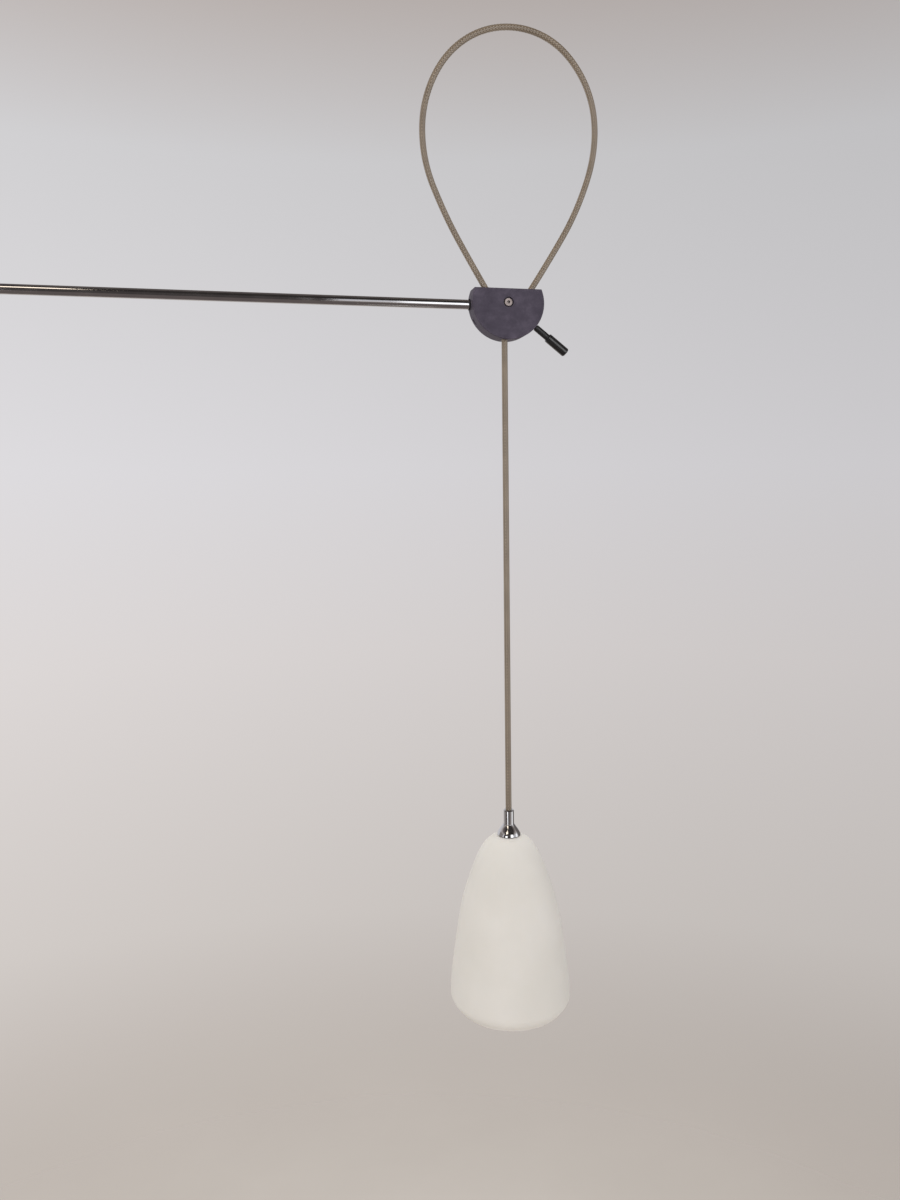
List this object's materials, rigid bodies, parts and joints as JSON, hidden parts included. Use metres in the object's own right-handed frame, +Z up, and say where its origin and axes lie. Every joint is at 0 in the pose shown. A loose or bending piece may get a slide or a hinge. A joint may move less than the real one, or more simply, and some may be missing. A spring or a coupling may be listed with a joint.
{
  "type": "pendant lamp",
  "caption": "Pendant lamp on a swivelling ceiling arm: a white bell shade on a braided cable that loops over a lever clamp, which sets how low it hangs.",
  "frame": {"origin": "centre of the ceiling plate's upper face, on the stem's axis", "axes": "+Z up into the ceiling, +X along the arm, -Y towards the face of the clamp head"},
  "size_m": [0.748, 0.1229, 1.1156],
  "materials": {
    "zinc_steel": "zinc plated",
    "cast_aluminium": "turned",
    "bearing_bronze": "turned",
    "nylon": "natural nylon",
    "anodised_grey": "matte dark purple-grey",
    "white_plastic": "moulded",
    "brass": "bright",
    "wire_insulation": "single-core insulation",
    "black_steel": "black oxide",
    "black_grip": "satin black",
    "chromed_tube": "polished",
    "chromed_brass": "polished",
    "nickel_steel": "nickel plated",
    "black_rubber": "moulded",
    "braided_cable": "bronze textile braid",
    "matte_porcelain": "matte white",
    "black_plastic": "moulded",
    "steatite": "unglazed",
    "opal_glass": "opal"
  },
  "bodies": {
    "ceiling": {"ceiling_plate": "zinc_steel", "swivel_housing": "cast_aluminium", "housing_screws": "zinc_steel", "upper_bush": "bearing_bronze", "lower_bush": "bearing_bronze", "thrust_washer": "nylon", "stop_screw": "zinc_steel", "canopy": "anodised_grey", "canopy_ring": "anodised_grey", "terminal_block": "white_plastic", "terminal_screws": "brass", "supply_wires": "wire_insulation"},
    "arm": {"stem_collar": "zinc_steel", "collar_screw": "black_steel", "stop_pin": "zinc_steel", "stem_tube": "chromed_tube", "elbow_back": "anodised_grey", "elbow_front": "anodised_grey", "elbow_screws": "black_steel", "elbow_set_screws": "black_steel", "arm_tube": "chromed_tube", "head_back": "anodised_grey", "head_front": "anodised_grey", "separator_plate": "zinc_steel", "axle_screw": "nickel_steel", "wave_washer": "zinc_steel", "head_screws": "black_steel", "tube_set_screw": "black_steel", "anchor_screw": "black_steel", "tube_seal": "black_rubber", "cable_arm": "braided_cable", "cable_loop": "braided_cable", "cable_clamped": "braided_cable"},
    "lever": {"clamp_cam": "nickel_steel", "lever_neck": "black_steel", "lever_grip": "black_grip"},
    "drop": {"cable_drop": "braided_cable"},
    "pendant": {"cable_tail": "braided_cable", "cord_grip": "chromed_brass", "grip_screw": "nickel_steel", "dome_cap": "chromed_brass", "nipple": "zinc_steel", "upper_gasket": "black_rubber", "lower_gasket": "black_rubber", "shade_nut": "zinc_steel", "shade": "matte_porcelain", "holder_cap": "black_plastic", "holder_body": "black_plastic", "holder_insert": "steatite", "screw_shell": "brass", "centre_contact": "brass", "holder_wires": "wire_insulation", "bulb_base": "nickel_steel", "bulb_glass": "opal_glass"}
  },
  "joints": [
    {"name": "arm_swing", "type": "hinge", "parent": "ceiling", "child": "arm", "pos_m": [0, 0, 0], "axis": [0, 0, 1], "range_deg": [-150, 150]},
    {"name": "clamp_lever", "type": "hinge", "parent": "arm", "child": "lever", "pos_m": [0.6, -0.0071, -0.3985], "axis": [0, 1, 0], "range_deg": [0, 35]},
    {"name": "pendant_sway", "type": "hinge", "parent": "arm", "child": "drop", "pos_m": [0.597, -0.0071, -0.4365], "axis": [0, 1, 0], "range_deg": [-20, 20], "deforming": ["cable_drop"]},
    {"name": "height_adjust", "type": "slide", "parent": "drop", "child": "pendant", "axis": [0, 0, -1], "range_m": [0, 0.2], "deforming": ["cable_loop", "cable_drop"]}
  ]
}
